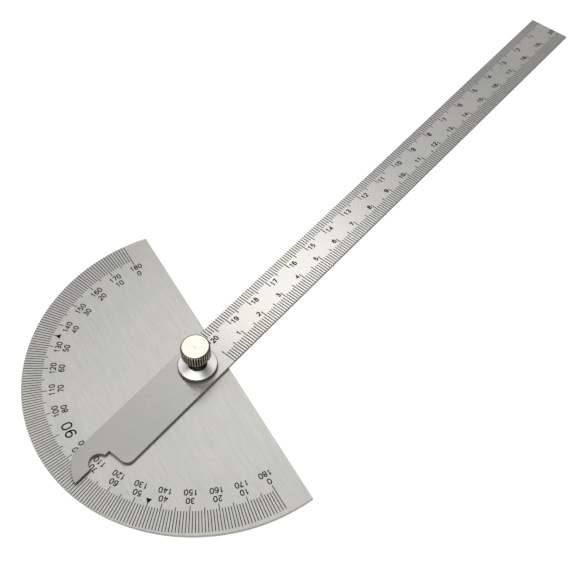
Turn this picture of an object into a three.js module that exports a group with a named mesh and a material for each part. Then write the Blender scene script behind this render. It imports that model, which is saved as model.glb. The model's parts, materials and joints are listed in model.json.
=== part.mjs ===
// A steel protractor with a ruler arm: a half-round dial plate, an arm that is a pointer at one end
// and a 20 cm rule at the other, and a stud, washer and knurled nut that clamp the two together.
// Millimetres, +Z up. The origin is the pivot, on the flat underside of the stud's head.
// The arm lies along +X, and the plate is turned under it to the reading that it is stored at.

import * as THREE from 'three';

// Sheet metal
const plateThickness = 1.2;
const armThickness = 1.0;
const edgeBreak = 0.1;

// Dial plate. Its rim is not struck from the pivot: the rim's centre lies a little past it,
// towards the straight edge and towards the scale's zero.
const rimRadius = 58.2;
const rimShiftToEdge = 1.1;
const rimShiftToZero = 0.7;
const pivotToStraightEdge = 8.5;
const storedReading = 70;

// Ruler arm. Its pointer end is measured back from the tip: the reading edge, the window, which is
// an arc a little flatter than a half circle, the nose beside it, and the curved flank on the other side.
const armWidth = 16;
const bladeReach = 209;
const pointerReach = 54.2;
const pointerTipWidth = 0.9;
const readingEdgeLength = 6.2;
const windowWidth = 6.1;
const windowDepth = 2.7;
const windowToNose = 1.85;
const noseFillet = 2.6;
const flankLength = 7;
const flankRadius = 13.5;

// Pivot stud
const studRadius = 2;
const studHeadRadius = 5;
const studHeadHeight = 1.2;
const studHeadRound = 0.5;
const studEndChamfer = 0.4;
const threadEngagement = 7.5;

// Clamp washer
const washerRadius = 6.5;
const washerThickness = 1.4;
const washerEdgeRound = 0.35;

// Thumb nut
const nutHeadRadius = 4.8;
const nutHeadHeight = 5;
const nutNeckRadius = 3.2;
const nutNeckHeight = 4.8;
const nutTopChamfer = 0.5;
const nutTopChamferDrop = 0.35;
const nutLowerChamfer = 0.3;
const nutFootChamfer = 0.3;
const knurlCount = 36;
const knurlDepth = 0.32;
const knurlCrestShare = 0.3;
const centreDimpleRadius = 0.35;
const centreDimpleDepth = 0.25;

// Clearances
const plateHoleClearance = 0.05;
const armHoleClearance = 0.1;
const washerHoleClearance = 0.15;
const nutBoreClearance = 0.15;
const nutBoreEndGap = 0.8;

// Facets stay this close to the true curve
const chordError = 0.004;

// Stations along the arm, from the pivot towards the tip
const flankStart = pointerReach - flankLength;
const windowCentre = pointerReach - readingEdgeLength - windowWidth / 2;
const noseReach = windowCentre - windowWidth / 2 - windowToNose;

// Levels, from the head of the stud up
const plateBottom = studHeadHeight;
const armBottom = plateBottom + plateThickness;
const washerBottom = armBottom + armThickness;
const nutBottom = washerBottom + washerThickness;
const studTop = nutBottom + threadEngagement;
const nutHeadBottom = nutBottom + nutNeckHeight;
const nutTop = nutHeadBottom + nutHeadHeight;

// Finishes
const brushedSheet = new THREE.MeshStandardMaterial({ color: 0xc4c3c0, roughness: 0.35, metalness: 1 });
const brushedArm = new THREE.MeshStandardMaterial({ color: 0xb8b7b3, roughness: 0.35, metalness: 1 });
const plainSteel = new THREE.MeshStandardMaterial({ color: 0xa9a8a4, roughness: 0.4, metalness: 1 });
const polishedSteel = new THREE.MeshStandardMaterial({ color: 0xd4d4d2, roughness: 0.12, metalness: 1 });
const platedNut = new THREE.MeshStandardMaterial({ color: 0xdcd8c8, roughness: 0.22, metalness: 1 });

// Points along an arc, both ends included, turning from one angle to the other
function arcPoints(centreX, centreY, radius, fromAngle, toAngle) {
  const widestStep = 2 * Math.acos(1 - chordError / radius);
  const steps = Math.ceil(Math.abs(toAngle - fromAngle) / widestStep);
  const points = [];
  for (let step = 0; step <= steps; step += 1) {
    const angle = fromAngle + (toAngle - fromAngle) * step / steps;
    points.push(new THREE.Vector2(centreX + radius * Math.cos(angle), centreY + radius * Math.sin(angle)));
  }
  return points;
}

// A round hole as a closed run of points
function holePath(radius) {
  const points = arcPoints(0, 0, radius, 0, -2 * Math.PI);
  points.pop();
  return new THREE.Path(points);
}

// Sheet metal cut to an outline, with its sharp edges broken, standing on the given level
function sheet(outline, holeRadius, thickness, level) {
  const shape = new THREE.Shape(outline);
  shape.holes.push(holePath(holeRadius));
  const geometry = new THREE.ExtrudeGeometry(shape, {
    depth: thickness - 2 * edgeBreak,
    bevelThickness: edgeBreak,
    bevelSize: edgeBreak,
    bevelOffset: -edgeBreak,
    bevelSegments: 1,
    steps: 1,
  });
  geometry.translate(0, 0, level + edgeBreak);
  return geometry;
}

// A turned piece about the Z axis
function turned(profile, radius) {
  const sides = Math.ceil(Math.PI / Math.acos(1 - chordError / radius));
  const geometry = new THREE.LatheGeometry(profile, sides);
  geometry.rotateX(Math.PI / 2);
  return geometry;
}

function namedMesh(name, geometry, material) {
  const mesh = new THREE.Mesh(geometry, material);
  mesh.name = name;
  return mesh;
}

// Half-round plate, drawn as it is held to read it: arc up, zero at the left, 180 at the right
function makeDialPlate() {
  const rimCentreX = -rimShiftToZero;
  const rimCentreY = -rimShiftToEdge;
  const cornerAngle = Math.asin((pivotToStraightEdge - rimShiftToEdge) / rimRadius);
  const outline = arcPoints(rimCentreX, rimCentreY, rimRadius, -cornerAngle, Math.PI + cornerAngle);
  const geometry = sheet(outline, studRadius + plateHoleClearance, plateThickness, plateBottom);
  return namedMesh('dial_plate', geometry, brushedSheet);
}

// Strip with a square end at +X. The reading edge lies on the arm's centre line, so it is radial
// and the arm reads true. The window opens from the same line.
function makeRulerArm() {
  const halfWidth = armWidth / 2;
  const tip = new THREE.Vector2(-pointerReach, pointerTipWidth);
  const shoulder = new THREE.Vector2(-flankStart, halfWidth);
  const chord = shoulder.clone().sub(tip);
  const inward = new THREE.Vector2(chord.y, -chord.x).normalize();
  const centreDistance = Math.sqrt(flankRadius ** 2 - chord.lengthSq() / 4);
  const flankCentre = tip.clone().add(shoulder).multiplyScalar(0.5).addScaledVector(inward, centreDistance);
  const shoulderAngle = Math.atan2(shoulder.y - flankCentre.y, shoulder.x - flankCentre.x);
  const tipAngle = Math.atan2(tip.y - flankCentre.y, tip.x - flankCentre.x);
  const tipAngleOn = tipAngle < 0 ? tipAngle + 2 * Math.PI : tipAngle;
  const windowRadius = (windowWidth ** 2 / 4 + windowDepth ** 2) / (2 * windowDepth);
  const windowAngle = Math.asin((windowRadius - windowDepth) / windowRadius);
  const filletX = -noseReach + noseFillet;
  const filletY = -halfWidth + noseFillet;

  const outline = [
    new THREE.Vector2(bladeReach, -halfWidth),
    new THREE.Vector2(bladeReach, halfWidth),
    ...arcPoints(flankCentre.x, flankCentre.y, flankRadius, shoulderAngle, tipAngleOn),
    new THREE.Vector2(-pointerReach, 0),
    ...arcPoints(-windowCentre, windowDepth - windowRadius, windowRadius, Math.PI - windowAngle, windowAngle),
    new THREE.Vector2(-noseReach, 0),
    ...arcPoints(filletX, filletY, noseFillet, Math.PI, 1.5 * Math.PI),
  ];
  const geometry = sheet(outline, studRadius + armHoleClearance, armThickness, armBottom);
  return namedMesh('ruler_arm', geometry, brushedArm);
}

// Low round head under the plate, shank through both sheets, and the end that the nut runs on
function makePivotStud() {
  const profile = [
    new THREE.Vector2(0, 0),
    ...arcPoints(studHeadRadius - studHeadRound, studHeadRound, studHeadRound, -Math.PI / 2, 0),
    new THREE.Vector2(studHeadRadius, studHeadHeight),
    new THREE.Vector2(studRadius, studHeadHeight),
    new THREE.Vector2(studRadius, studTop - studEndChamfer),
    new THREE.Vector2(studRadius - studEndChamfer, studTop),
    new THREE.Vector2(0, studTop),
  ];
  return namedMesh('pivot_stud', turned(profile, studHeadRadius), plainSteel);
}

// Flat turned washer with its outer edge rounded on the top side
function makeClampWasher() {
  const hole = studRadius + washerHoleClearance;
  const profile = [
    new THREE.Vector2(hole, washerBottom),
    new THREE.Vector2(washerRadius, washerBottom),
    ...arcPoints(washerRadius - washerEdgeRound, nutBottom - washerEdgeRound, washerEdgeRound, 0, Math.PI / 2),
    new THREE.Vector2(hole, nutBottom),
    new THREE.Vector2(hole, washerBottom),
  ];
  return namedMesh('clamp_washer', turned(profile, washerRadius), polishedSteel);
}

// The straight knurl: how far out the metal reaches at each of the three corners of one ridge
function knurlCorners() {
  const pitch = 2 * Math.PI / knurlCount;
  const root = nutHeadRadius - knurlDepth;
  const corners = [];
  for (let ridge = 0; ridge < knurlCount; ridge += 1) {
    const crest = ridge * pitch;
    corners.push({ angle: crest - pitch * knurlCrestShare / 2, reach: nutHeadRadius });
    corners.push({ angle: crest + pitch * knurlCrestShare / 2, reach: nutHeadRadius });
    corners.push({ angle: crest + pitch / 2, reach: root });
  }
  return corners;
}

// A turned body whose grooves are cut down to the knurl's root wherever it is wider than that.
// The profile is a closed run of [radius, height], anticlockwise, with a point wherever a slope
// crosses the root, so that each groove runs out as a real one does.
function knurledBody(profile) {
  const corners = knurlCorners();
  const sides = corners.length;
  const positions = [];
  for (const [radius, height] of profile) {
    for (const corner of corners) {
      const reach = Math.min(radius, corner.reach);
      positions.push(reach * Math.cos(corner.angle), reach * Math.sin(corner.angle), height);
    }
  }
  const indices = [];
  for (let ring = 0; ring < profile.length; ring += 1) {
    const above = (ring + 1) % profile.length;
    for (let side = 0; side < sides; side += 1) {
      const next = (side + 1) % sides;
      const a = ring * sides + side;
      const b = ring * sides + next;
      const c = above * sides + next;
      const d = above * sides + side;
      indices.push(a, b, c, a, c, d);
    }
  }
  return { positions, indices, sides };
}

// Closes the ring of points at the given place in the profile with a fan about the axis
function addCap(body, ring, height, facingUp) {
  const centre = body.positions.length / 3;
  body.positions.push(0, 0, height);
  for (let side = 0; side < body.sides; side += 1) {
    const here = ring * body.sides + side;
    const next = ring * body.sides + (side + 1) % body.sides;
    if (facingUp) {
      body.indices.push(centre, here, next);
    } else {
      body.indices.push(centre, next, here);
    }
  }
}

// Tall nut: a plain neck that bears on the washer, a knurled head with a dimpled flat top,
// and a blind bore for the stud
function makeThumbNut() {
  const bore = studRadius + nutBoreClearance;
  const boreEnd = studTop + nutBoreEndGap;
  const root = nutHeadRadius - knurlDepth;
  const topFlat = nutHeadRadius - nutTopChamfer;
  const rootOnTopChamfer = nutTop - nutTopChamferDrop * (nutTopChamfer - knurlDepth) / nutTopChamfer;
  const lowerFlat = nutHeadRadius - knurlDepth - nutLowerChamfer;
  const profile = [
    [bore, boreEnd],
    [bore, nutBottom],
    [nutNeckRadius - nutFootChamfer, nutBottom],
    [nutNeckRadius, nutBottom + nutFootChamfer],
    [nutNeckRadius, nutHeadBottom],
    [lowerFlat, nutHeadBottom],
    [root, nutHeadBottom + nutLowerChamfer],
    [nutHeadRadius, nutHeadBottom + nutLowerChamfer + knurlDepth],
    [nutHeadRadius, nutTop - nutTopChamferDrop],
    [root, rootOnTopChamfer],
    [topFlat, nutTop],
    [centreDimpleRadius, nutTop],
  ];
  const body = knurledBody(profile);
  const wrap = 2 * body.sides * 3;
  body.indices.length -= wrap;
  addCap(body, 0, boreEnd, false);
  addCap(body, profile.length - 1, nutTop - centreDimpleDepth, true);

  const geometry = new THREE.BufferGeometry();
  geometry.setAttribute('position', new THREE.Float32BufferAttribute(body.positions, 3));
  geometry.setIndex(body.indices);
  geometry.computeVertexNormals();
  return namedMesh('thumb_nut', geometry, platedNut);
}

const protractor = new THREE.Group();

const dial = new THREE.Group();
dial.rotation.z = THREE.MathUtils.degToRad(storedReading);
dial.add(makeDialPlate());

protractor.add(dial, makePivotStud(), makeRulerArm(), makeClampWasher(), makeThumbNut());

export default protractor;
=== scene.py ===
import json
import math

import bmesh
import bpy
from mathutils import Matrix, Vector


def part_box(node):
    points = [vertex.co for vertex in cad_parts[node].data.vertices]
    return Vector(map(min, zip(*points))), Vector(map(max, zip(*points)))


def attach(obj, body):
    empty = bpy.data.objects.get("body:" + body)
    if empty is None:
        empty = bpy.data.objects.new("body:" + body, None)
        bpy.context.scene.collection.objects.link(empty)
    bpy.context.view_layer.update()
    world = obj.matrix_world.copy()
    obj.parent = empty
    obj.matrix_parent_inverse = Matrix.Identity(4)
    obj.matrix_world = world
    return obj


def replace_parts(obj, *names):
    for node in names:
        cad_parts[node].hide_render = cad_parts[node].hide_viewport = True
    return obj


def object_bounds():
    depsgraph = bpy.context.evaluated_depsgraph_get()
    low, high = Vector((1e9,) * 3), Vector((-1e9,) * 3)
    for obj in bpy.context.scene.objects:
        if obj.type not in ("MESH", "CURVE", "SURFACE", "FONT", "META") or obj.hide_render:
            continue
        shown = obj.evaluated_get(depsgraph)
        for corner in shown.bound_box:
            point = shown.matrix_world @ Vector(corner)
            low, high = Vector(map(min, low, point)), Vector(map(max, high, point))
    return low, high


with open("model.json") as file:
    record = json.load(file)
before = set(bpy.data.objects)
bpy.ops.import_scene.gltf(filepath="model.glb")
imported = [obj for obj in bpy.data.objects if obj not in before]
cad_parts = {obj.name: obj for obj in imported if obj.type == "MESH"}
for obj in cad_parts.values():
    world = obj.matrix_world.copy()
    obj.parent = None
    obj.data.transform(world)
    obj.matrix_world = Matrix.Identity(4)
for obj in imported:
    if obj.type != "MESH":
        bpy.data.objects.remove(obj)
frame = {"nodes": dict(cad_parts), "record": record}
cad_low, cad_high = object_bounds()


# Pivot stud
# A turned steel stud with a low round head under the plate. Its shank is plain where it passes
# through the two sheets, and carries a rolled M4 thread above them, on which the nut runs.

MM = 0.001


def add_node(tree, kind, inputs=None, **settings):
    """Adds a node; inputs maps a socket's name or place to a value, or to the output that feeds it."""
    made = tree.nodes.new(kind)
    for name, value in settings.items():
        setattr(made, name, value)
    for socket, value in (inputs or {}).items():
        if isinstance(value, bpy.types.NodeSocket):
            tree.links.new(value, made.inputs[socket])
        else:
            made.inputs[socket].default_value = value
    return made


def calculate(tree, operation, *values):
    """A math node's output."""
    return add_node(tree, "ShaderNodeMath", dict(enumerate(values)), operation=operation).outputs[0]


def ramp(tree, value, start, end, low, high, **settings):
    """Goes from low to high as the value goes from start to end, and stays level outside them."""
    inputs = {"Value": value, "From Min": start, "From Max": end, "To Min": low, "To Max": high}
    return add_node(tree, "ShaderNodeMapRange", inputs, **settings).outputs[0]


def spread(tree, value, low, high):
    """A value from 0 to 1 spread over a wider or narrower range."""
    return ramp(tree, value, 0.0, 1.0, low, high)


def noise(tree, place, scale, detail, roughness=0.5):
    """Soft noise from 0 to 1, whose largest lumps are 1 / scale across."""
    return add_node(tree, "ShaderNodeTexNoise", {
        "Vector": place, "Scale": scale, "Detail": detail, "Roughness": roughness}).outputs[0]


def tinted(tree, colour, amount):
    """The colour made darker or lighter by an amount about 1."""
    made = add_node(tree, "ShaderNodeVectorMath", {0: colour, "Scale": amount}, operation="SCALE")
    return made.outputs[0]


def facing_up(tree):
    """How far a surface faces up or down in the object's own frame: 1 on a flat face, 0 on a wall."""
    own_normal = add_node(tree, "ShaderNodeTexCoord").outputs["Normal"]
    upward = add_node(tree, "ShaderNodeSeparateXYZ", {0: own_normal}).outputs["Z"]
    return calculate(tree, "ABSOLUTE", upward)


def new_material(name, base_colour, metallic, roughness):
    """A material with its Principled shader, and the object's own coordinates in millimetres."""
    material = bpy.data.materials.new(name)
    material.use_nodes = True
    tree = material.node_tree
    shader = tree.nodes["Principled BSDF"]
    shader.inputs["Base Color"].default_value = (*base_colour, 1)
    shader.inputs["Metallic"].default_value = metallic
    shader.inputs["Roughness"].default_value = roughness
    coordinates = add_node(tree, "ShaderNodeTexCoord").outputs["Object"]
    in_mm = add_node(tree, "ShaderNodeVectorMath", {0: coordinates, "Scale": 1 / MM}, operation="SCALE")
    return material, tree, shader, in_mm.outputs[0]


QUARTER_TURN = 0.25


def cut_lines(tree, shader, lines, depth, along, anisotropy):
    """Fine lines cut in the metal: their bump, and the light that they draw out across them."""
    bump = add_node(tree, "ShaderNodeBump", {"Strength": 1.0, "Distance": depth, "Height": lines})
    tree.links.new(bump.outputs[0], shader.inputs["Normal"])
    tangent = add_node(tree, "ShaderNodeVectorTransform", {0: along},
                       vector_type="VECTOR", convert_from="OBJECT", convert_to="WORLD").outputs[0]
    shader.inputs["Anisotropic"].default_value = anisotropy
    shader.inputs["Anisotropic Rotation"].default_value = QUARTER_TURN
    tree.links.new(tangent, shader.inputs["Tangent"])


RING_DEPTH = 0.0015 * MM
RING_TONE = 0.08
RING_ROUGHNESS = 0.05
POLISH_ROUGHNESS = 0.06


def turned_metal(name, base_colour, roughness, ring_pitch, anisotropy, shade=None, smoother=None):
    """Metal from the lathe, with fine rings round the Z axis.

    shade is a function that gives a place's painted shade from its distance to the axis, and
    smoother = (start, end, change) takes the change off the roughness between two such distances.
    """
    material, tree, shader, place = new_material(name, base_colour, 1.0, roughness)
    split = add_node(tree, "ShaderNodeSeparateXYZ", {0: place}).outputs
    radius = calculate(tree, "SQRT", calculate(
        tree, "ADD", calculate(tree, "POWER", split["X"], 2), calculate(tree, "POWER", split["Y"], 2)))
    ring_place = add_node(tree, "ShaderNodeCombineXYZ", {"X": radius, "Y": split["Z"]}).outputs[0]
    rings = noise(tree, ring_place, scale=1 / ring_pitch, detail=3, roughness=0.6)
    patches = noise(tree, place, scale=0.35, detail=2)
    tone = spread(tree, rings, 1 - RING_TONE, 1 + RING_TONE)
    if shade is not None:
        # Painted shade: it darkens both the base colour and the tint of the reflection.
        painted_shade = shade(tree, radius)
        tone = calculate(tree, "MULTIPLY", tone, painted_shade)
        tree.links.new(tinted(tree, (1, 1, 1), painted_shade), shader.inputs["Specular Tint"])
    tree.links.new(tinted(tree, base_colour, tone), shader.inputs["Base Color"])
    uneven = calculate(tree, "ADD", spread(tree, rings, -RING_ROUGHNESS, RING_ROUGHNESS),
                       spread(tree, patches, -POLISH_ROUGHNESS, POLISH_ROUGHNESS))
    if smoother is not None:
        start, end, change = smoother
        uneven = calculate(tree, "ADD", uneven, ramp(tree, radius, start, end, 0.0, -change))
    tree.links.new(calculate(tree, "ADD", uneven, roughness), shader.inputs["Roughness"])
    round_axis = add_node(tree, "ShaderNodeCombineXYZ", {
        "X": calculate(tree, "MULTIPLY", split["Y"], -1), "Y": split["X"]}).outputs[0]
    cut_lines(tree, shader, rings, RING_DEPTH, round_axis, anisotropy)
    return material


def keep_piece(name, mesh, body, place=None):
    """Makes a mesh a piece of the object: its place goes into the mesh, and it rides on its body."""
    if place is not None:
        mesh.transform(place)
    mesh.name = name
    piece = bpy.data.objects.new(name, mesh)
    bpy.context.scene.collection.objects.link(piece)
    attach(piece, body)
    return piece


STUD_RADIUS = 2.0 * MM
STUD_HEAD_RADIUS = 5.0 * MM
STUD_HEAD_HEIGHT = 1.2 * MM
STUD_HEAD_ROUND = 0.5 * MM
STUD_END_CHAMFER = 0.4 * MM
THREAD_PITCH = 0.7 * MM
THREAD_DEPTH = 0.4 * MM
THREAD_FLAT = 0.1
STUD_SIDES = 48
HEAD_ROUND_STEPS = 6
RINGS_PER_TURN = 10
INSIDE_THE_BOX = 0.001 * MM


def thread_radius(turn, height, start, end):
    """The radius of the rolled thread, which rises from the plain shank and runs out at the tip."""
    phase = (height / THREAD_PITCH - turn) % 1.0
    flank = 1 - abs(2 * phase - 1)
    depth = min(max((flank - THREAD_FLAT) / (1 - 2 * THREAD_FLAT), 0.0), 1.0)
    ease = min(1.0, (height - start) / THREAD_PITCH, 2 * (end - height) / THREAD_PITCH)
    return STUD_RADIUS - THREAD_DEPTH * depth * ease


def stud_mesh():
    """The head, the plain shank and the threaded end, as one closed skin."""
    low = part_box("pivot_stud")[0].z + INSIDE_THE_BOX
    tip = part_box("pivot_stud")[1].z - INSIDE_THE_BOX
    head_radius = STUD_HEAD_RADIUS - INSIDE_THE_BOX
    thread_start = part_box("ruler_arm")[1].z
    thread_end = tip - STUD_END_CHAMFER
    round_angles = [math.radians(90 * step / HEAD_ROUND_STEPS) for step in range(HEAD_ROUND_STEPS + 1)]
    levels = [(low + STUD_HEAD_ROUND * (1 - math.cos(a)), head_radius - STUD_HEAD_ROUND * (1 - math.sin(a)))
              for a in round_angles]
    levels += [(STUD_HEAD_HEIGHT, head_radius), (STUD_HEAD_HEIGHT, STUD_RADIUS), (thread_start, STUD_RADIUS)]
    steps = round((thread_end - thread_start) / THREAD_PITCH * RINGS_PER_TURN)
    rise = (thread_end - thread_start) / steps
    levels += [(thread_start + rise * step, None) for step in range(1, steps + 1)]
    levels.append((tip, STUD_RADIUS - STUD_END_CHAMFER))

    work = bmesh.new()
    rings = []
    for height, plain_radius in levels:
        ring = []
        for side in range(STUD_SIDES):
            turn = side / STUD_SIDES
            radius = plain_radius or thread_radius(turn, height, thread_start, thread_end)
            x, y = radius * math.cos(math.tau * turn), radius * math.sin(math.tau * turn)
            ring.append(work.verts.new((x, y, height)))
        rings.append(ring)
    for lower, upper in zip(rings, rings[1:]):
        for side in range(STUD_SIDES):
            following = (side + 1) % STUD_SIDES
            work.faces.new((lower[side], lower[following], upper[following], upper[side]))
    work.faces.new(rings[0])
    work.faces.new(rings[-1])
    bmesh.ops.recalc_face_normals(work, faces=work.faces)
    mesh = bpy.data.meshes.new("threaded_stud")
    work.to_mesh(mesh)
    work.free()
    mesh.materials.append(turned_metal(
        "stud_steel", (0.56, 0.55, 0.53), roughness=0.35, ring_pitch=0.12, anisotropy=0.4))
    return mesh


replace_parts(keep_piece("threaded_stud", stud_mesh(), "dial"), "pivot_stud")


# Dial plate
# Half-round stainless sheet, brushed along its straight edge. The degree marks, the two rows of
# numbers and the two triangles are etched and filled with black, all but level with the steel.

PATCH_WARMTH = 0.015
WARM_FROM_COOL = (0.35, 0.65)
CLOUDING = 0.12
CLOUD_ROUGHNESS = 0.04
EDGE_FACING = (0.75, 0.98)


def brushed_steel(name, base_colour, roughness, grain_angle, anisotropy, streaks, scratch_depth, painted_edge_shade):
    """Stainless sheet with a straight grain: fine scratches, soft warm patches, and painted shade on the cut
    edges.
    """
    material, tree, shader, place = new_material(name, base_colour, 1.0, roughness)
    along_grain = add_node(tree, "ShaderNodeMapping", {
        "Vector": place, "Rotation": (0, 0, -grain_angle)}, vector_type="POINT").outputs[0]

    def scratches(length, width):
        stretched = add_node(tree, "ShaderNodeMapping", {
            "Vector": along_grain, "Scale": (1 / length, 1 / width, 1)}, vector_type="POINT").outputs[0]
        return noise(tree, stretched, scale=1.0, detail=3, roughness=0.6)

    fine = scratches(length=5.0, width=0.16)
    broad = scratches(length=9.0, width=0.9)
    patches = noise(tree, place, scale=0.06, detail=4, roughness=0.6)

    shade = calculate(tree, "MULTIPLY", spread(tree, fine, 1 - streaks, 1 + streaks),
                      spread(tree, broad, 1 - streaks / 2, 1 + streaks / 2))
    shade = calculate(tree, "MULTIPLY", shade, spread(tree, patches, 1 - CLOUDING, 1 + CLOUDING))
    # Painted shade: walls and edge breaks are drawn darker than the faces, by how far they turn from level.
    shade = calculate(tree, "MULTIPLY", shade, ramp(tree, facing_up(tree), *EDGE_FACING, painted_edge_shade, 1.0))
    red, green, blue = base_colour
    warm = add_node(tree, "ShaderNodeMix", {
        "Factor": ramp(tree, patches, *WARM_FROM_COOL, 0.0, 1.0),
        "A": (red * (1 - PATCH_WARMTH), green, blue * (1 + PATCH_WARMTH), 1),
        "B": (red * (1 + PATCH_WARMTH), green, blue * (1 - PATCH_WARMTH), 1),
    }, data_type="RGBA").outputs["Result"]
    tree.links.new(tinted(tree, warm, shade), shader.inputs["Base Color"])
    uneven = calculate(tree, "ADD", spread(tree, fine, -streaks / 4, streaks / 4),
                       spread(tree, patches, -CLOUD_ROUGHNESS, CLOUD_ROUGHNESS))
    tree.links.new(calculate(tree, "ADD", uneven, roughness), shader.inputs["Roughness"])
    grain = (math.cos(grain_angle), math.sin(grain_angle), 0)
    cut_lines(tree, shader, fine, scratch_depth, grain, anisotropy)
    return material


def finish_node(name, material):
    """Gives a CAD node its finish, and smooths nothing, because its mesh is left alone."""
    slots = frame["nodes"][name].data.materials
    slots.clear()
    slots.append(material)


edge_mount = next(m for m in frame["record"]["mounts"] if m["name"] == "plate_straight_edge")
edge_outward = Vector(edge_mount["axis"])
plate_turn = math.atan2(edge_outward.x, -edge_outward.y)
onto_plate = Matrix.Rotation(plate_turn, 4, "Z")
dial_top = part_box("dial_plate")[1].z

# Painted shade darkens the plate's cut edges to 0.6 of the face.
finish_node("dial_plate", brushed_steel(
    "plate_steel", (0.69, 0.685, 0.66), roughness=0.40, grain_angle=plate_turn, anisotropy=0.85,
    streaks=0.22, scratch_depth=0.0007 * MM, painted_edge_shade=0.6))

FILL_COLOUR = (0.01, 0.01, 0.01)
FILL_TONE = (0.5, 1.6)
FILL_ROUGHNESS = (0.55, 0.75)
FILL_GLOSS = 0.12
FILL_DEPTH = 0.03 * MM
FILL_PROUD = 0.004 * MM


def black_fill(name, worn=None):
    """The dull, uneven black of etched marks; worn = (start, end, times paler), in mm along X."""
    material, tree, shader, place = new_material(name, FILL_COLOUR, 0.0, FILL_ROUGHNESS[0])
    specks = noise(tree, place, scale=3.0, detail=3)
    amount = spread(tree, specks, *FILL_TONE)
    if worn is not None:
        start, end, paler = worn
        along = add_node(tree, "ShaderNodeSeparateXYZ", {0: place}).outputs["X"]
        amount = calculate(tree, "MULTIPLY", amount, ramp(tree, along, start, end, 1.0, paler))
    tree.links.new(tinted(tree, FILL_COLOUR, amount), shader.inputs["Base Color"])
    tree.links.new(spread(tree, specks, *FILL_ROUGHNESS), shader.inputs["Roughness"])
    shader.inputs["Specular IOR Level"].default_value = FILL_GLOSS
    return material


def new_tree(name, inputs):
    """An empty Geometry Nodes tree, its named inputs' identifiers, and its group inputs."""
    tree = bpy.data.node_groups.new(name, "GeometryNodeTree")
    tree.is_modifier = True
    tree.interface.new_socket("Geometry", in_out="INPUT", socket_type="NodeSocketGeometry")
    tree.interface.new_socket("Geometry", in_out="OUTPUT", socket_type="NodeSocketGeometry")
    identifiers = {}
    for label, kind in inputs.items():
        socket = tree.interface.new_socket(label, in_out="INPUT", socket_type="NodeSocket" + kind)
        identifiers[label] = socket.identifier
    return tree, identifiers, add_node(tree, "NodeGroupInput").outputs


def halfway(tree, a, b):
    """The middle of two values."""
    return calculate(tree, "MULTIPLY", calculate(tree, "ADD", a, b), 0.5)


def choose(tree, switch, yes, no):
    """One of two values."""
    return add_node(tree, "GeometryNodeSwitch", {
        "Switch": switch, "True": yes, "False": no}, input_type="FLOAT").outputs[0]


def pick_length(tree, index, one, five, ten):
    """One of three values: for every tenth mark, every fifth, and the rest."""
    is_fifth = calculate(tree, "LESS_THAN", calculate(tree, "MODULO", index, 5), 0.5)
    is_tenth = calculate(tree, "LESS_THAN", calculate(tree, "MODULO", index, 10), 0.5)
    return choose(tree, is_tenth, ten, choose(tree, is_fifth, five, one))


def lay_bars(tree, given, x, y, along_x, along_y, angle=0.0):
    """Ends a tree in real bars of the tree's material, between its two heights, one for each point."""
    place = add_node(tree, "ShaderNodeCombineXYZ", {
        "X": x, "Y": y, "Z": halfway(tree, given["Low"], given["High"])}).outputs[0]
    size = add_node(tree, "ShaderNodeCombineXYZ", {
        "X": along_x, "Y": along_y, "Z": calculate(tree, "SUBTRACT", given["High"], given["Low"])}).outputs[0]
    turn = add_node(tree, "FunctionNodeEulerToRotation", {
        0: add_node(tree, "ShaderNodeCombineXYZ", {"Z": angle}).outputs[0]}).outputs[0]
    points = add_node(tree, "GeometryNodePoints", {"Count": given["Count"], "Position": place}).outputs[0]
    bar = add_node(tree, "GeometryNodeMeshCube", {"Size": (1, 1, 1)}).outputs[0]
    bars = add_node(tree, "GeometryNodeInstanceOnPoints", {
        "Points": points, "Instance": bar, "Rotation": turn, "Scale": size}).outputs[0]
    real = add_node(tree, "GeometryNodeRealizeInstances", {0: bars}).outputs[0]
    painted = add_node(tree, "GeometryNodeSetMaterial", {"Geometry": real, "Material": given["Material"]})
    add_node(tree, "NodeGroupOutput", {0: painted.outputs[0]})


def grow(piece_name, tree, identifiers, values):
    """Runs a tree on an empty mesh and gives what it makes as a plain mesh."""
    seed = bpy.data.objects.new(piece_name + "_seed", bpy.data.meshes.new(piece_name + "_seed"))
    bpy.context.scene.collection.objects.link(seed)
    modifier = seed.modifiers.new("grow", "NODES")
    modifier.node_group = tree
    for label, value in values.items():
        modifier[identifiers[label]] = value
    graph = bpy.context.evaluated_depsgraph_get()
    mesh = bpy.data.meshes.new_from_object(seed.evaluated_get(graph))
    bpy.data.objects.remove(seed)
    return mesh


RIM_RADIUS = 58.2 * MM
RIM_CENTRE = Vector((-0.7, -1.1)) * MM
RIM_MARGIN = 0.15 * MM
DEGREE_MARKS = 181
DEGREE_MARK_OUTER = 57.35 * MM
DEGREE_MARK_INNER = {1: 50.3 * MM, 5: 49.4 * MM, 10: 48.65 * MM}
DEGREE_MARK_WIDTH = 0.26 * MM


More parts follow.
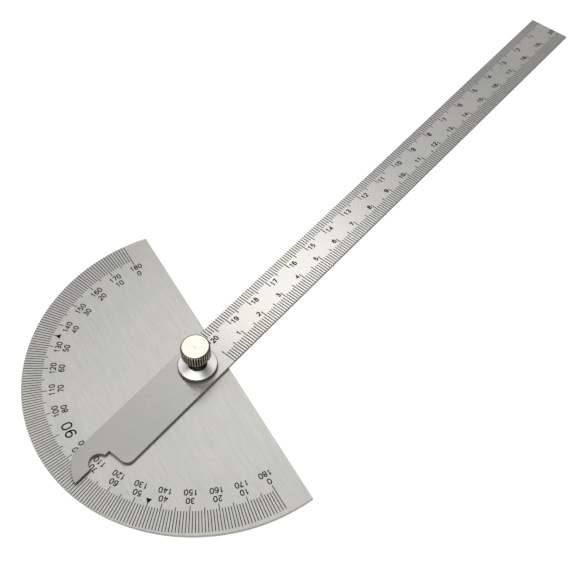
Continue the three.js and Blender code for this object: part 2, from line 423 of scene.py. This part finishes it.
def radial_marks_tree():
    """Bars on the rays from the pivot, one for each degree, that stop short of the rim."""
    tree, identifiers, given = new_tree("degree_marks", {
        "Count": "Int", "Step": "Float", "Inner": "Float", "Inner Five": "Float", "Inner Ten": "Float",
        "Outer": "Float", "Rim Radius": "Float", "Rim Centre": "Vector", "Width": "Float",
        "Low": "Float", "High": "Float", "Material": "Material"})
    index = add_node(tree, "GeometryNodeInputIndex").outputs[0]
    angle = calculate(tree, "MULTIPLY", index, given["Step"])
    ray_x = calculate(tree, "COSINE", angle)
    ray_y = calculate(tree, "SINE", angle)
    centre = add_node(tree, "ShaderNodeSeparateXYZ", {0: given["Rim Centre"]}).outputs
    near = calculate(tree, "ADD", calculate(tree, "MULTIPLY", centre["X"], ray_x),
                     calculate(tree, "MULTIPLY", centre["Y"], ray_y))
    aside = calculate(tree, "SUBTRACT", calculate(tree, "MULTIPLY", centre["X"], ray_y),
                      calculate(tree, "MULTIPLY", centre["Y"], ray_x))
    beyond = calculate(tree, "SQRT", calculate(
        tree, "SUBTRACT", calculate(tree, "POWER", given["Rim Radius"], 2),
        calculate(tree, "POWER", aside, 2)))
    outer = calculate(tree, "MINIMUM", given["Outer"], calculate(tree, "ADD", near, beyond))
    inner = pick_length(tree, index, given["Inner"], given["Inner Five"], given["Inner Ten"])
    middle = halfway(tree, inner, outer)
    lay_bars(tree, given,
             x=calculate(tree, "MULTIPLY", middle, ray_x), y=calculate(tree, "MULTIPLY", middle, ray_y),
             along_x=calculate(tree, "SUBTRACT", outer, inner), along_y=given["Width"], angle=angle)
    return tree, identifiers


etch_black = black_fill("etch_black")
degree_tree, degree_sockets = radial_marks_tree()
degree_marks = grow("degree_marks", degree_tree, degree_sockets, {
    "Count": DEGREE_MARKS,
    "Step": math.radians(1),
    "Inner": DEGREE_MARK_INNER[1],
    "Inner Five": DEGREE_MARK_INNER[5],
    "Inner Ten": DEGREE_MARK_INNER[10],
    "Outer": DEGREE_MARK_OUTER,
    "Rim Radius": RIM_RADIUS - RIM_MARGIN,
    "Rim Centre": (*RIM_CENTRE, 0),
    "Width": DEGREE_MARK_WIDTH,
    "Low": dial_top - FILL_DEPTH,
    "High": dial_top + FILL_PROUD,
    "Material": etch_black,
})
keep_piece("degree_marks", degree_marks, "dial", onto_plate)


def bow(centre, reach, start, end, steps=14):
    """Points on an oval arc, with its angles in degrees."""
    angles = (math.radians(start + (end - start) * step / steps) for step in range(steps + 1))
    return [(centre[0] + reach[0] * math.cos(a), centre[1] + reach[1] * math.sin(a)) for a in angles]


def six_lines():
    """The one stroke of a six, and of a nine when it is turned about."""
    back = bow((0.56, 0.58), (0.56, 0.42), 42, 180)
    bowl = bow((0.5, 0.31), (0.5, 0.31), 180, 540, 24)
    return [back + bowl]


# The middle of the engraver's stroke for each digit, in a box one wide and one high
DIGIT_LINES = {
    "0": [bow((0.5, 0.62), (0.5, 0.38), 0, 180) + bow((0.5, 0.38), (0.5, 0.38), 180, 360) + [(1.0, 0.62)]],
    "1": [[(0.2, 0.74), (0.6, 1.0), (0.6, 0.0)]],
    "2": [bow((0.5, 0.72), (0.46, 0.28), 170, -28) + [(0.0, 0.0), (1.0, 0.0)]],
    "3": [bow((0.48, 0.76), (0.42, 0.24), 150, -90) + bow((0.48, 0.26), (0.5, 0.26), 90, -150)],
    "4": [[(0.74, 0.0), (0.74, 1.0), (0.0, 0.3), (1.0, 0.3)]],
    "5": [[(0.9, 1.0), (0.18, 1.0), (0.08, 0.52)] + bow((0.48, 0.32), (0.5, 0.32), 128, -145)],
    "6": six_lines(),
    "7": [[(0.0, 1.0), (1.0, 1.0), (0.38, 0.0)]],
    "8": [bow((0.5, 0.77), (0.42, 0.23), 270, 630, 20), bow((0.5, 0.27), (0.5, 0.27), 90, 450, 20)],
    "9": [[(1 - x, 1 - y) for x, y in line] for line in six_lines()],
}
MITRE_LIMIT = 2.2
SAME_POINT = 0.000001 * MM
CLOSED_GAP = 0.001 * MM


def add_stroke(mesh, line, width, low, high):
    """A flat bar of even width that follows a line of points, mitred at its corners."""
    points = [Vector(p) for p in line]
    points = [p for i, p in enumerate(points) if i == 0 or (p - points[i - 1]).length > SAME_POINT]
    closed = (points[0] - points[-1]).length < CLOSED_GAP
    if closed:
        points.pop()
    rails = []
    for place, point in enumerate(points):
        legs = []
        if closed or place > 0:
            legs.append((point - points[place - 1]).normalized())
        if closed or place < len(points) - 1:
            legs.append((points[(place + 1) % len(points)] - point).normalized())
        heading = sum(legs, Vector((0, 0))).normalized()
        side = Vector((-heading.y, heading.x))
        reach = width / 2 / max(heading.dot(legs[0]), 1 / MITRE_LIMIT)
        rails.append([mesh.verts.new((*(point + side * reach * sign), level))
                      for sign, level in ((1, low), (-1, low), (-1, high), (1, high))])
    for place in range(len(rails) if closed else len(rails) - 1):
        here, there = rails[place], rails[(place + 1) % len(rails)]
        for corner in range(4):
            following = (corner + 1) % 4
            mesh.faces.new((here[corner], here[following], there[following], there[corner]))
    if not closed:
        mesh.faces.new(reversed(rails[0]))
        mesh.faces.new(rails[-1])


def add_number(mesh, text, middle, up, height, digit_width, pitch, stroke, level):
    """Digits of a number, centred on a point, with their tops towards up."""
    right = Vector((up.y, -up.x))
    inner_width = digit_width - stroke
    inner_height = height - stroke
    for place, digit in enumerate(text):
        centre = middle + right * pitch * (place - (len(text) - 1) / 2)
        for line in DIGIT_LINES[digit]:
            drawn = [centre + right * (x - 0.5) * inner_width + up * (y - 0.5) * inner_height
                     for x, y in line]
            add_stroke(mesh, drawn, stroke, level - FILL_DEPTH, level + FILL_PROUD)


def drawn_mesh(draw, fill):
    """A mesh with black fill, made by a function that draws into it."""
    work = bmesh.new()
    draw(work)
    bmesh.ops.recalc_face_normals(work, faces=work.faces)
    mesh = bpy.data.meshes.new("drawn")
    work.to_mesh(mesh)
    work.free()
    mesh.materials.append(fill)
    return mesh


DIAL_DIGIT_HEIGHT = 2.1 * MM
DIAL_DIGIT_WIDTH = 1.35 * MM
DIAL_DIGIT_PITCH = 1.48 * MM
DIAL_STROKE = 0.36 * MM
OUTER_ROW_MIDDLE = 47.05 * MM
INNER_ROW_MIDDLE = 44.25 * MM
SQUARE_MIDDLE = 45.35 * MM
SQUARE_HEIGHT = 3.7 * MM
SQUARE_DIGIT_WIDTH = 2.5 * MM
SQUARE_PITCH = 3.05 * MM
SQUARE_STROKE = 0.52 * MM


def ray(reading):
    """The direction from the pivot to a reading on the plate, before the plate is turned."""
    angle = math.radians(180 - reading)
    return Vector((math.cos(angle), math.sin(angle)))


def draw_dial_numbers(mesh):
    """Two rows of numbers that run opposite ways, and one large 90 between them."""
    for reading in range(0, 181, 10):
        up = ray(reading)
        if reading == 90:
            add_number(mesh, "90", up * SQUARE_MIDDLE, up, SQUARE_HEIGHT, SQUARE_DIGIT_WIDTH,
                       SQUARE_PITCH, SQUARE_STROKE, dial_top)
            continue
        for value, middle in ((reading, OUTER_ROW_MIDDLE), (180 - reading, INNER_ROW_MIDDLE)):
            add_number(mesh, str(value), up * middle, up, DIAL_DIGIT_HEIGHT, DIAL_DIGIT_WIDTH,
                       DIAL_DIGIT_PITCH, DIAL_STROKE, dial_top)


TRIANGLE_APEX = 49.6 * MM
TRIANGLE_BASE = 47.75 * MM
TRIANGLE_WIDTH = 1.9 * MM


def draw_triangles(mesh):
    """The two small triangles at half a right angle, which point to the rim."""
    for reading in (45, 135):
        up = ray(reading)
        side = Vector((up.y, -up.x)) * TRIANGLE_WIDTH / 2
        corners = (up * TRIANGLE_APEX, up * TRIANGLE_BASE - side, up * TRIANGLE_BASE + side)
        low = [mesh.verts.new((*c, dial_top - FILL_DEPTH)) for c in corners]
        high = [mesh.verts.new((*c, dial_top + FILL_PROUD)) for c in corners]
        mesh.faces.new(low)
        mesh.faces.new(high)
        for place in range(3):
            following = (place + 1) % 3
            mesh.faces.new((low[place], low[following], high[following], high[place]))


keep_piece("dial_numbers", drawn_mesh(draw_dial_numbers, etch_black), "dial", onto_plate)
keep_piece("dial_triangles", drawn_mesh(draw_triangles, etch_black), "dial", onto_plate)


# Ruler arm
# One strip of stainless sheet, brushed along its length. The blade carries two black-filled
# millimetre scales that run opposite ways, one along each edge, and the pointer end is bare.

# Painted shade darkens the arm's cut edges to 0.3 of the face.
finish_node("ruler_arm", brushed_steel(
    "arm_steel", (0.70, 0.69, 0.665), roughness=0.27, grain_angle=0, anisotropy=1.0,
    streaks=0.04, scratch_depth=0.0001 * MM, painted_edge_shade=0.3))

CENTIMETRE = 10 * MM
SCALE_NUMBERS = 20
SCALE_MARKS = 200
MARK_STEP = 1 * MM
NEAR_PIVOT_MARK_WIDTH = 0.34 * MM
FAR_OUT_MARK_WIDTH = 0.28 * MM
FINER_FROM_MARK = 45
FINER_BY_MARK = 90
NEAR_ENDS = {"first": 2.3 * MM, 1: 3.7 * MM, 5: 2.7 * MM, 10: 1.7 * MM}
FAR_ENDS = {"first": 2.55 * MM, 1: 4.75 * MM, 5: 3.7 * MM, 10: 2.55 * MM}
ARM_EDGE_BREAK = 0.1 * MM
WEAR_STARTS = 120
WEAR_ENDS = 180
WORN_PALER = 7

arm_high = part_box("ruler_arm")[1]
arm_top = arm_high.z
scale_start = arm_high.x - SCALE_NUMBERS * CENTIMETRE
mark_outer = arm_high.y - ARM_EDGE_BREAK
rule_black = black_fill("rule_black", worn=(WEAR_STARTS, WEAR_ENDS, WORN_PALER))


def straight_marks_tree():
    """Bars square to an edge of the blade, one for each millimetre, and finer further out."""
    tree, identifiers, given = new_tree("millimetre_marks", {
        "Count": "Int", "Start": "Float", "Step": "Float", "Edge": "Float",
        "First End": "Float", "End": "Float", "End Five": "Float", "End Ten": "Float",
        "Width": "Float", "Last Width": "Float", "Low": "Float", "High": "Float", "Material": "Material"})
    index = add_node(tree, "GeometryNodeInputIndex").outputs[0]
    is_first = calculate(tree, "LESS_THAN", index, 0.5)
    end = choose(tree, is_first, given["First End"], pick_length(
        tree, index, given["End"], given["End Five"], given["End Ten"]))
    length = calculate(tree, "ABSOLUTE", calculate(tree, "SUBTRACT", given["Edge"], end))
    width = ramp(tree, index, FINER_FROM_MARK, FINER_BY_MARK, given["Width"], given["Last Width"])
    lay_bars(tree, given,
             x=calculate(tree, "MULTIPLY_ADD", index, given["Step"], given["Start"]),
             y=halfway(tree, end, given["Edge"]), along_x=width, along_y=length)
    return tree, identifiers


millimetre_tree, millimetre_sockets = straight_marks_tree()


def scale_marks(name, side, ends):
    """The marks of one scale, along the edge on that side of the blade."""
    mesh = grow(name, millimetre_tree, millimetre_sockets, {
        "Count": SCALE_MARKS,
        "Start": scale_start,
        "Step": MARK_STEP,
        "Edge": side * mark_outer,
        "First End": side * ends["first"],
        "End": side * ends[1],
        "End Five": side * ends[5],
        "End Ten": side * ends[10],
        "Width": NEAR_PIVOT_MARK_WIDTH,
        "Last Width": FAR_OUT_MARK_WIDTH,
        "Low": arm_top - FILL_DEPTH,
        "High": arm_top + FILL_PROUD,
        "Material": rule_black,
    })
    keep_piece(name, mesh, "arm")


scale_marks("near_scale_marks", -1, NEAR_ENDS)
scale_marks("far_scale_marks", 1, FAR_ENDS)

SCALE_DIGIT_WIDTH = 1.35 * MM
SCALE_DIGIT_PITCH = 1.42 * MM
SCALE_STROKE = 0.43 * MM
NEAR_DIGIT_HEIGHT = 1.9 * MM
NEAR_DIGIT_MIDDLE = -1.8 * MM
NEAR_DIGIT_GAP = 0.5 * MM
FAR_DIGIT_HEIGHT = 2.1 * MM
FAR_DIGIT_MIDDLE = 2.75 * MM
FAR_DIGIT_GAP = 0.6 * MM


def draw_scale_numbers(mesh):
    """A number for each centimetre mark, on the side of it that its scale counts from."""
    up = Vector((0, 1))
    for centimetre in range(1, SCALE_NUMBERS + 1):
        text = str(centimetre)
        half_text = ((len(text) - 1) * SCALE_DIGIT_PITCH + SCALE_DIGIT_WIDTH) / 2
        near_x = scale_start + centimetre * CENTIMETRE - NEAR_DIGIT_GAP - half_text
        far_x = arm_high.x - centimetre * CENTIMETRE + FAR_DIGIT_GAP + half_text
        for x, y, height in ((near_x, NEAR_DIGIT_MIDDLE, NEAR_DIGIT_HEIGHT),
                             (far_x, FAR_DIGIT_MIDDLE, FAR_DIGIT_HEIGHT)):
            add_number(mesh, text, Vector((x, y)), up, height, SCALE_DIGIT_WIDTH,
                       SCALE_DIGIT_PITCH, SCALE_STROKE, arm_top)


keep_piece("scale_numbers", drawn_mesh(draw_scale_numbers, rule_black), "arm")


# Clamp washer
# A steel washer, stamped from sheet and then faced and polished on the lathe. It lies loose on
# the arm, round the stud, and spreads the nut's clamp.

# Painted shade on the washer's wall and rounded edges: this much darker than the faces.
PAINTED_WALL_SHADE = 0.11
WALL_FACING = (0.8, 0.98)


def darker_wall(tree, radius):
    """The faces are polished, and the wall and its rounded edges get painted shade."""
    return ramp(tree, facing_up(tree), *WALL_FACING, PAINTED_WALL_SHADE, 1.0)


finish_node("clamp_washer", turned_metal(
    "washer_steel", (0.86, 0.855, 0.84), roughness=0.43, ring_pitch=0.1, anisotropy=0.9,
    shade=darker_wall))


# Thumb nut
# Turned brass, nickel plated with a warm tint: a plain neck, a straight-knurled head that the
# fingers turn, and a flat faced top with the centre mark that the lathe leaves.

# Radii and widths in millimetres, as a material's own coordinates are
KNURL_ROOT_RADIUS = 4.66
KNURL_CREST_RADIUS = 4.79
NUT_TOP_RADIUS = 4.3
TOP_EDGE_WIDTH = 0.1
CHAMFER_SMOOTHER = 0.04
CENTRE_MARK_RADIUS = 1.0
# Painted shade for the grooves and neck, the crests, the centre mark and the chamfer, as parts of the top's
# brightness.
GROOVE_SHADE = 0.045
CREST_SHADE = 0.6
CENTRE_MARK_SHADE = 0.75
CHAMFER_SHADE = 0.08
CHAMFER_FACING = (0.5, 0.75)
TOP_FACING = (0.9, 0.98)


def dull_below_the_crests(tree, radius):
    """Painted shade: bright on the faced top, fair on the crests, dark in the grooves and neck, and darker on
    the centre mark and the chamfer.
    """
    on_crest = ramp(tree, radius, KNURL_ROOT_RADIUS, KNURL_CREST_RADIUS, GROOVE_SHADE, CREST_SHADE)
    in_mark = calculate(tree, "MULTIPLY", CENTRE_MARK_SHADE,
                        calculate(tree, "LESS_THAN", radius, CENTRE_MARK_RADIUS))
    on_chamfer = ramp(tree, facing_up(tree), *CHAMFER_FACING, 0.0, CHAMFER_SHADE)
    on_top = ramp(tree, facing_up(tree), *TOP_FACING, 0.0, 1.0)
    level = calculate(tree, "MAXIMUM", on_crest, in_mark)
    level = calculate(tree, "MAXIMUM", level, on_chamfer)
    return calculate(tree, "MAXIMUM", level, on_top)


finish_node("thumb_nut", turned_metal(
    "nut_plating", (0.85, 0.82, 0.73), roughness=0.40, ring_pitch=0.14, anisotropy=0.2,
    shade=dull_below_the_crests,
    smoother=(NUT_TOP_RADIUS, NUT_TOP_RADIUS + TOP_EDGE_WIDTH, CHAMFER_SMOOTHER)))


# Bench, light and camera
# A plain white bench under a pale studio and a row of soft boxes, seen from where the photograph
# was taken. The washer and the nut have one more soft box of their own.

FLOOR_HALF = 3.0
FLOOR_GLOW = 0.8
FLOOR_GREY = 0.5


def pale_floor():
    """White to the camera and in reflections, and still darker in the object's shadow."""
    material = bpy.data.materials.new("bench_white")
    material.use_nodes = True
    tree = material.node_tree
    tree.nodes.clear()
    seen = add_node(tree, "ShaderNodeLightPath").outputs
    shown = calculate(tree, "MAXIMUM", calculate(
        tree, "MAXIMUM", seen["Is Camera Ray"], seen["Is Glossy Ray"]), seen["Is Transmission Ray"])
    glow = add_node(tree, "ShaderNodeEmission", {
        "Color": (1, 1, 1, 1), "Strength": calculate(tree, "MULTIPLY", shown, FLOOR_GLOW)}).outputs[0]
    matt = add_node(tree, "ShaderNodeBsdfDiffuse", {
        "Color": (FLOOR_GREY, FLOOR_GREY, FLOOR_GREY, 1)}).outputs[0]
    both = add_node(tree, "ShaderNodeAddShader", {0: glow, 1: matt}).outputs[0]
    add_node(tree, "ShaderNodeOutputMaterial", {"Surface": both})
    return material


floor_mesh = bpy.data.meshes.new("bench")
floor_mesh.from_pydata(
    [(x * FLOOR_HALF, y * FLOOR_HALF, cad_low.z) for x, y in ((-1, -1), (1, -1), (1, 1), (-1, 1))],
    [], [(0, 1, 2, 3)])
floor_mesh.materials.append(pale_floor())
bench = bpy.data.objects.new("bench", floor_mesh)
bpy.context.scene.collection.objects.link(bench)

HORIZON_LEVEL = 1.0
MIDDLE_LEVEL = 0.41
OVERHEAD_LEVEL = 0.62
HORIZON_FADES = (0.12, 0.4)
OVERHEAD_BRIGHTENS = (0.6, 0.76)


def studio_world():
    """White at the horizon, so that the bench has no edge, dimmer above it, and paler overhead."""
    world = bpy.data.worlds.new("studio")
    world.use_nodes = True
    tree = world.node_tree
    tree.nodes.clear()
    direction = add_node(tree, "ShaderNodeTexCoord").outputs["Generated"]
    height = add_node(tree, "ShaderNodeSeparateXYZ", {0: direction}).outputs["Z"]
    off_horizon = ramp(tree, height, *HORIZON_FADES, 0.0, 1.0, interpolation_type="SMOOTHSTEP")
    above = ramp(tree, height, *OVERHEAD_BRIGHTENS, MIDDLE_LEVEL, OVERHEAD_LEVEL,
                 interpolation_type="SMOOTHSTEP")
    level = add_node(tree, "ShaderNodeMix", {
        "Factor": off_horizon, "A": HORIZON_LEVEL, "B": above}, data_type="FLOAT").outputs["Result"]
    light = add_node(tree, "ShaderNodeBackground", {"Color": (1, 1, 1, 1), "Strength": level}).outputs[0]
    add_node(tree, "ShaderNodeOutputWorld", {"Surface": light})
    return world


bpy.context.scene.world = studio_world()

LAMP_HEIGHT = 0.8


def soft_box(name, x, y, width, depth, turn, radiance, colour, only_on=()):
    """A soft box that hangs level over the bench and shines down on every piece, or on some alone."""
    light = bpy.data.lights.new(name, "AREA")
    light.shape = "RECTANGLE"
    light.size = width
    light.size_y = depth
    light.color = colour
    light.energy = radiance * math.pi * width * depth
    lamp = bpy.data.objects.new(name, light)
    lamp.visible_camera = False
    lamp.location = (x, y, LAMP_HEIGHT)
    lamp.rotation_euler = (0, 0, math.radians(turn))
    bpy.context.scene.collection.objects.link(lamp)
    if only_on:
        lit = bpy.data.collections.new(name + "_lights")
        for node in only_on:
            lit.objects.link(frame["nodes"][node])
        lamp.light_linking.receiver_collection = lit


soft_box("far_soft_box", x=0.472, y=0.30, width=0.262, depth=0.46, turn=6, radiance=1.65,
         colour=(1, 0.98, 0.935))
soft_box("far_box_rim", x=0.70, y=0.33, width=0.19, depth=0.46, turn=6, radiance=0.28, colour=(1, 1, 1))
soft_box("near_box_rim", x=0.275, y=0.30, width=0.13, depth=0.46, turn=6, radiance=0.16, colour=(1, 1, 1))
soft_box("overhead_soft_box", x=-0.42, y=0.10, width=1.15, depth=0.44, turn=-66, radiance=7.6,
         colour=(1, 0.985, 0.95), only_on=("clamp_washer", "thumb_nut"))

CAMERA_PLACE = Vector((-127.55, -152.21, 311.67)) * MM
CAMERA_AIM = Vector((42.17, -2.41, 3.4)) * MM
CAMERA_ROLL = math.radians(-1.615)
CAMERA_LENS = 70.73
SENSOR_WIDTH = 36
NEAREST_SEEN = 0.01

scene_camera = bpy.data.cameras.new("camera")
scene_camera.sensor_width = SENSOR_WIDTH
scene_camera.lens = CAMERA_LENS
scene_camera.clip_start = NEAREST_SEEN
camera = bpy.data.objects.new("camera", scene_camera)
camera.location = CAMERA_PLACE
camera.rotation_mode = "QUATERNION"
level_view = (CAMERA_AIM - CAMERA_PLACE).to_track_quat("-Z", "Y")
camera.rotation_quaternion = level_view @ Matrix.Rotation(CAMERA_ROLL, 4, "Z").to_quaternion()
bpy.context.scene.collection.objects.link(camera)
bpy.context.scene.camera = camera
bpy.context.scene.view_settings.view_transform = "Standard"
